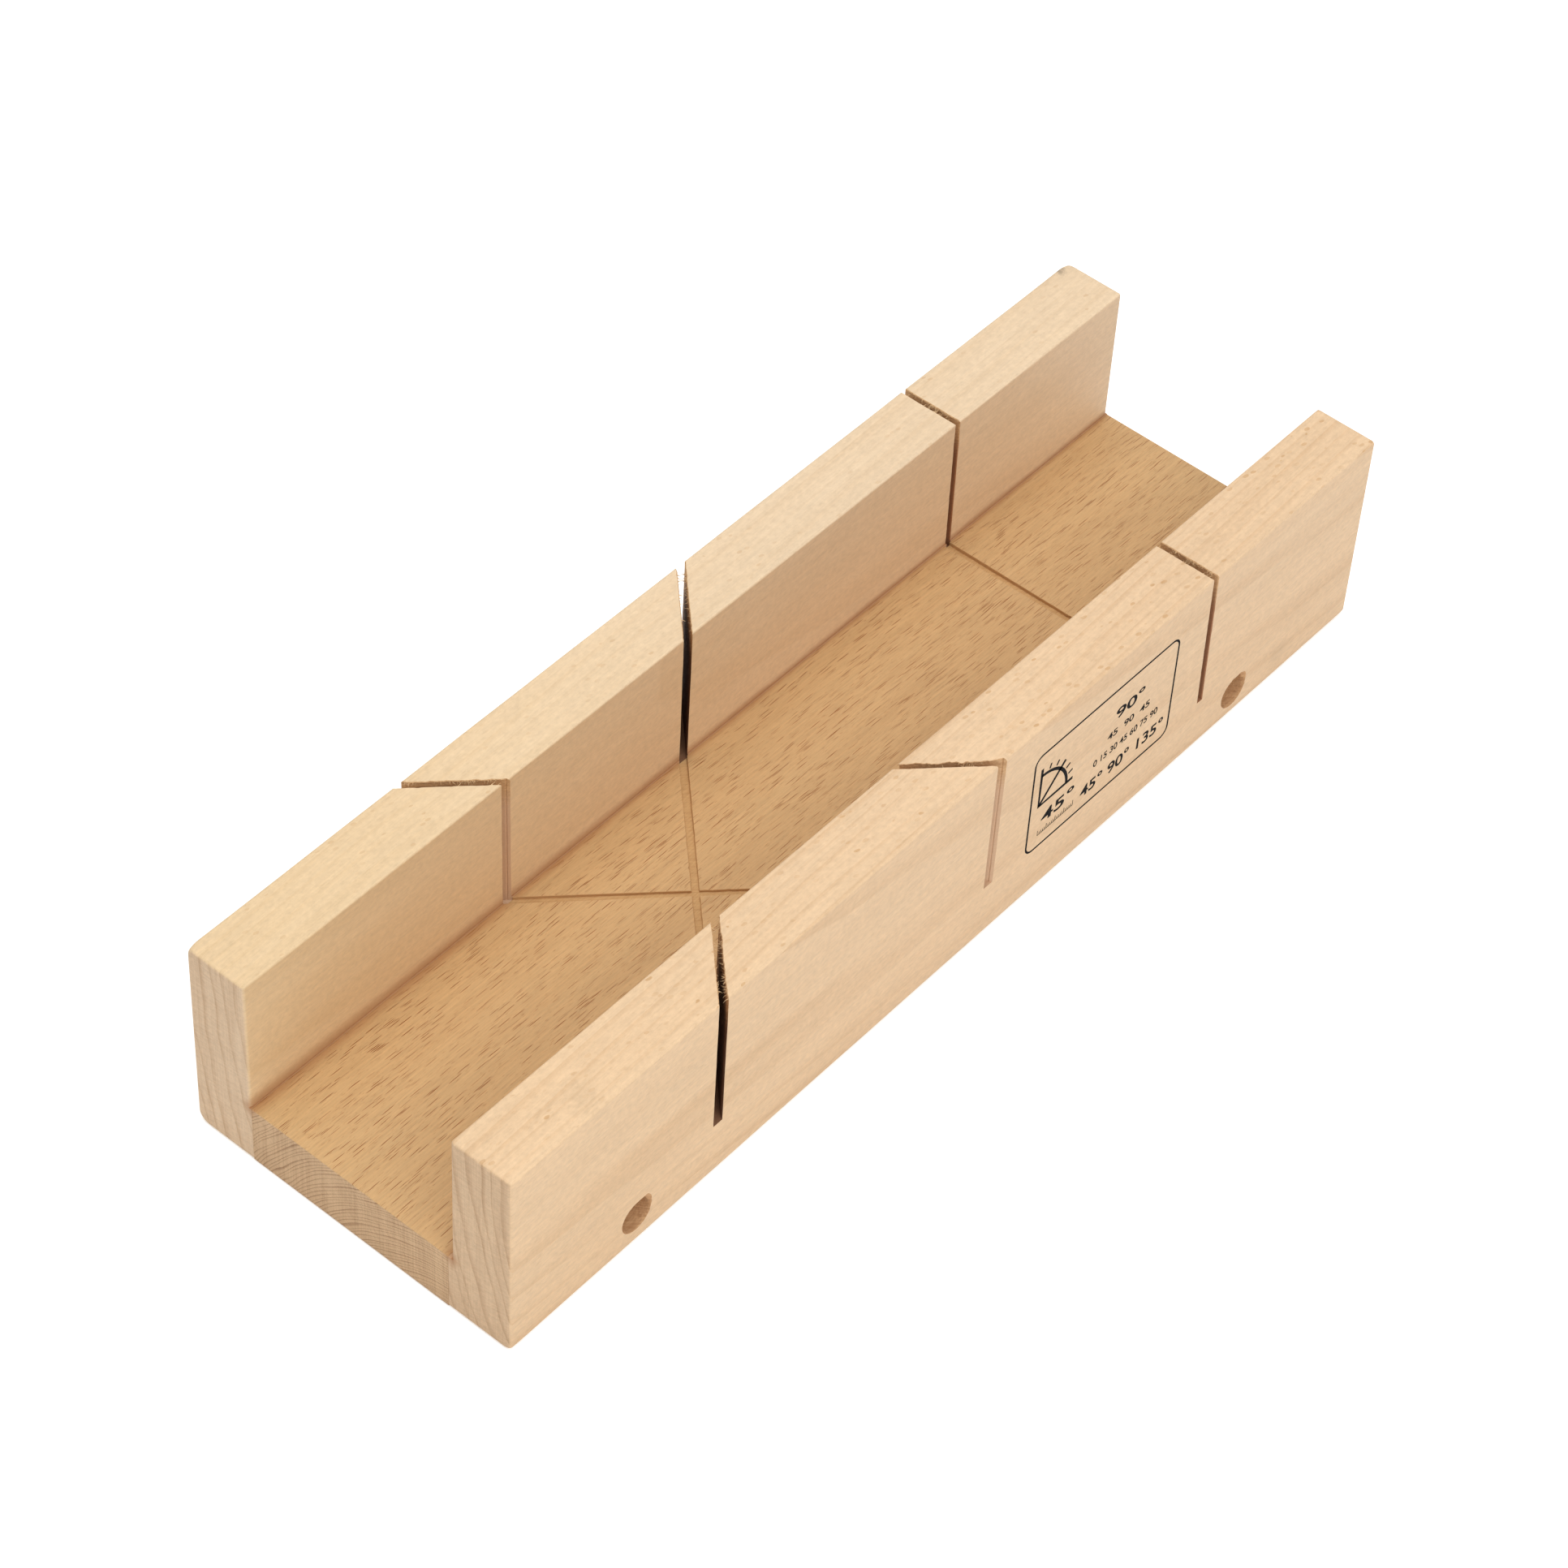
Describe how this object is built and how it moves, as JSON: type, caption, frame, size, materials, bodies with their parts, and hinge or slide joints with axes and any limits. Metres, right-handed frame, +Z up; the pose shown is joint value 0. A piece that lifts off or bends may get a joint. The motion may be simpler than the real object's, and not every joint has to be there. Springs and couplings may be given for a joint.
{
  "type": "mitre box",
  "caption": "Beech mitre box for a hand saw: an open channel with saw slots at 90 degrees and at 45 degrees both ways.",
  "frame": {"origin": "middle of the flat underside, halfway along the length and between the outer faces of the walls", "axes": "+X along the channel, -Y out of the front wall's printed outer face, +Z up out of the channel"},
  "size_m": [0.3, 0.093, 0.0573],
  "materials": {
    "beech_base": "planed steamed beech, bare, with fine dark vessel lines along the grain",
    "beech_wall": "planed pale beech, bare, with faint streaks and small flecks",
    "zinc_screw": "bright zinc plate"
  },
  "bodies": {
    "root": {"base_board": "beech_base", "front_wall": "beech_wall", "rear_wall": "beech_wall", "screw_front_near": "zinc_screw", "screw_front_far": "zinc_screw", "screw_rear_near": "zinc_screw", "screw_rear_far": "zinc_screw"}
  },
  "joints": []
}
